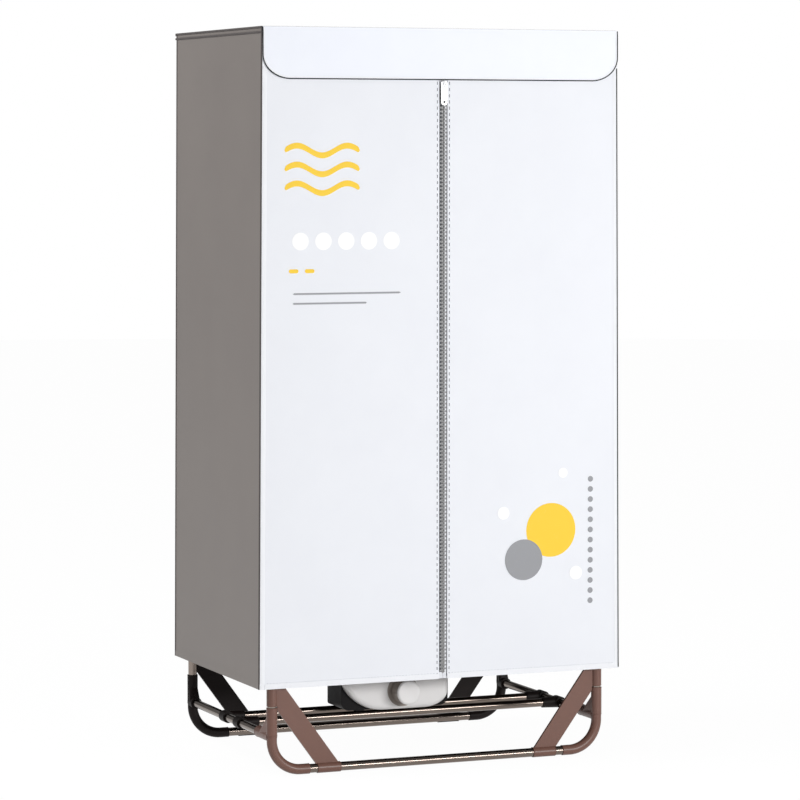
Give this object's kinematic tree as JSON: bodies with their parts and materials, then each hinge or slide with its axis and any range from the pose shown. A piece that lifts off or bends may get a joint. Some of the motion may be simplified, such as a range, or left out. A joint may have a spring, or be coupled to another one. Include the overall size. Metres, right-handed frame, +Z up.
{
  "type": "portable clothes drying cabinet",
  "caption": "Floor-standing tube-frame drying cabinet with a zipped fabric cover, a top flap, hanging rods and a fan heater under the hanging space.",
  "frame": {"origin": "on the floor, under the middle of the cabinet's width and depth", "axes": "+Z up, -Y towards the zipped front, +X to the right as seen from the front"},
  "size_m": [0.7, 0.4694, 1.32],
  "materials": {
    "cover_front_fabric": "smooth coated cloth, white",
    "cover_side_fabric": "coated cloth, warm grey",
    "binding_tape": "woven tape, white",
    "zip_tape": "woven tape, white",
    "zip_teeth": "moulded, grey",
    "zip_hardware": "glossy white paint",
    "steel_tube": "bright, slightly warm",
    "fitting_brown": "moulded, reddish brown",
    "fitting_dark": "moulded, very dark brown",
    "heater_black": "fine texture, black",
    "heater_white": "smooth, white",
    "dial_grey": "fine texture, warm grey",
    "unit_grey": "moulded, dark grey",
    "screw_steel": "plated",
    "element_fins": "plain fins"
  },
  "bodies": {
    "cabinet": {"side_panel_left": "cover_side_fabric", "side_panel_right": "cover_side_fabric", "back_panel": "cover_side_fabric", "roof_panel": "cover_side_fabric", "front_header": "cover_front_fabric", "front_panel_left": "cover_front_fabric", "front_panel_right": "cover_front_fabric", "edge_bindings": "binding_tape", "base_tube_front": "steel_tube", "base_tube_rear": "steel_tube", "elbow_front_left": "fitting_brown", "elbow_front_right": "fitting_brown", "elbow_rear_left": "fitting_dark", "elbow_rear_right": "fitting_dark", "tee_front_left": "fitting_brown", "tee_front_right": "fitting_brown", "tee_rear_left": "fitting_dark", "tee_rear_right": "fitting_dark", "brace_front_left": "fitting_brown", "brace_front_right": "fitting_brown", "brace_rear_left": "fitting_dark", "brace_rear_right": "fitting_dark", "side_rail_left": "steel_tube", "side_rail_right": "steel_tube", "cross_tube_front": "steel_tube", "cross_tube_rear": "steel_tube", "cross_tube_sockets": "fitting_dark", "lower_post_front_left": "steel_tube", "lower_post_front_right": "steel_tube", "lower_post_rear_left": "steel_tube", "lower_post_rear_right": "steel_tube", "post_joiners": "fitting_dark", "upper_post_front_left": "steel_tube", "upper_post_front_right": "steel_tube", "upper_post_rear_left": "steel_tube", "upper_post_rear_right": "steel_tube", "top_corners": "fitting_dark", "top_rail_front": "steel_tube", "top_rail_rear": "steel_tube", "top_rail_left": "steel_tube", "top_rail_right": "steel_tube", "hanging_rods": "steel_tube", "rod_sockets": "fitting_dark", "heater_rear_shell": "heater_black", "heater_front_shell": "heater_white", "heater_screws": "screw_steel", "outlet_grille": "heater_black", "dial_ring": "dial_grey", "timer_unit": "unit_grey", "fan_motor": "screw_steel", "heating_element": "element_fins"},
    "flap": {"top_flap": "cover_front_fabric"},
    "zip_half_left": {"zip_tape_left": "zip_tape", "zip_teeth_left": "zip_teeth"},
    "zip_half_right": {"zip_tape_right": "zip_tape", "zip_teeth_right": "zip_teeth"},
    "slider": {"zip_slider": "zip_hardware"},
    "tab": {"pull_tab": "zip_hardware"},
    "knob": {"timer_knob": "heater_white"},
    "impeller": {"fan_impeller": "unit_grey"}
  },
  "joints": [
    {"name": "flap_lift", "type": "hinge", "parent": "cabinet", "child": "flap", "pos_m": [0, -0.23085, 1.3203], "axis": [-1, 0, 0], "range_deg": [0, 260]},
    {"name": "left_half_draw", "type": "slide", "parent": "cabinet", "child": "zip_half_left", "axis": [-1, 0, 0], "range_m": [0, 0.27], "deforming": ["front_panel_left"]},
    {"name": "right_half_draw", "type": "slide", "parent": "cabinet", "child": "zip_half_right", "axis": [1, 0, 0], "range_m": [0, 0.27], "deforming": ["front_panel_right"]},
    {"name": "zip_travel", "type": "slide", "parent": "zip_half_right", "child": "slider", "axis": [0, 0, -1], "range_m": [0, 1.038]},
    {"name": "tab_swing", "type": "hinge", "parent": "slider", "child": "tab", "pos_m": [0, -0.23275, 1.22585], "axis": [-1, 0, 0], "range_deg": [0, 150]},
    {"name": "knob_turn", "type": "hinge", "parent": "cabinet", "child": "knob", "pos_m": [-0.0095, -0.07995, 0.1145], "axis": [0, -1, 0], "range_deg": [0, 300]},
    {"name": "fan_spin", "type": "hinge", "parent": "cabinet", "child": "impeller", "pos_m": [-0.0605, -0.00085, 0.1085], "axis": [0, 0, 1], "continuous": true}
  ]
}
